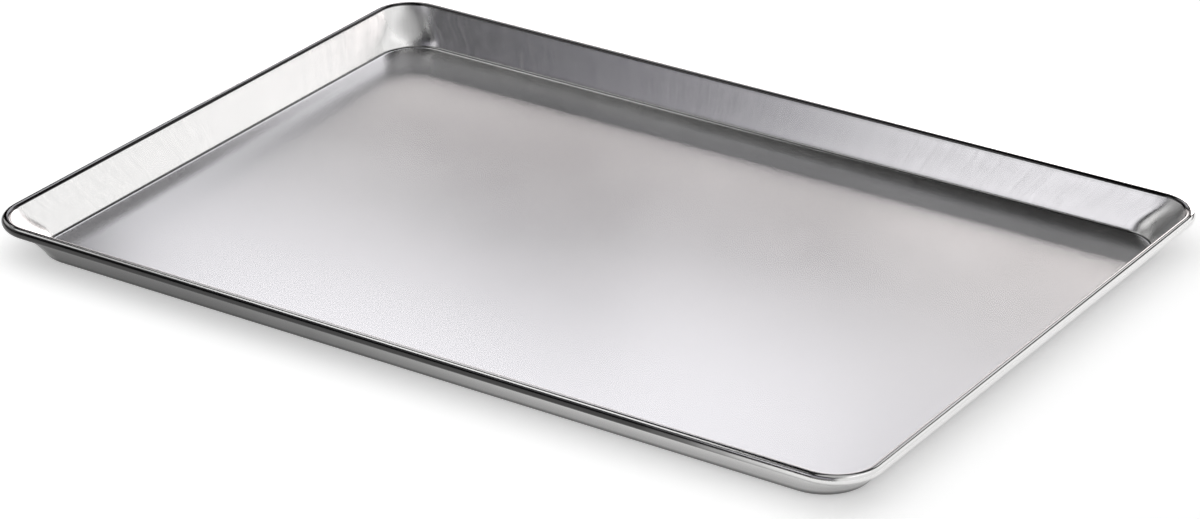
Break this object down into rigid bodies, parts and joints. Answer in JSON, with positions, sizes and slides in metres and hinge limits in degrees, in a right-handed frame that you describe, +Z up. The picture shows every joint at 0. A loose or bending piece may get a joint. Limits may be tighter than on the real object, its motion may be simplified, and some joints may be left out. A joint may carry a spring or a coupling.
{
  "type": "sheet pan",
  "caption": "Shallow rectangular baking sheet of drawn aluminium with a flat floor, leaning walls, round corners and a rim rolled over a wire.",
  "frame": {"origin": "on the surface that the pan stands on, under the middle of the pan", "axes": "+X along the long side, +Y along the short side, +Z up, out of the open top"},
  "size_m": [0.533, 0.381, 0.022],
  "materials": {
    "satin_aluminium": "satin",
    "galvanised_wire": "galvanised"
  },
  "bodies": {
    "root": {"pan_shell": "satin_aluminium", "rim_wire": "galvanised_wire"}
  },
  "joints": []
}
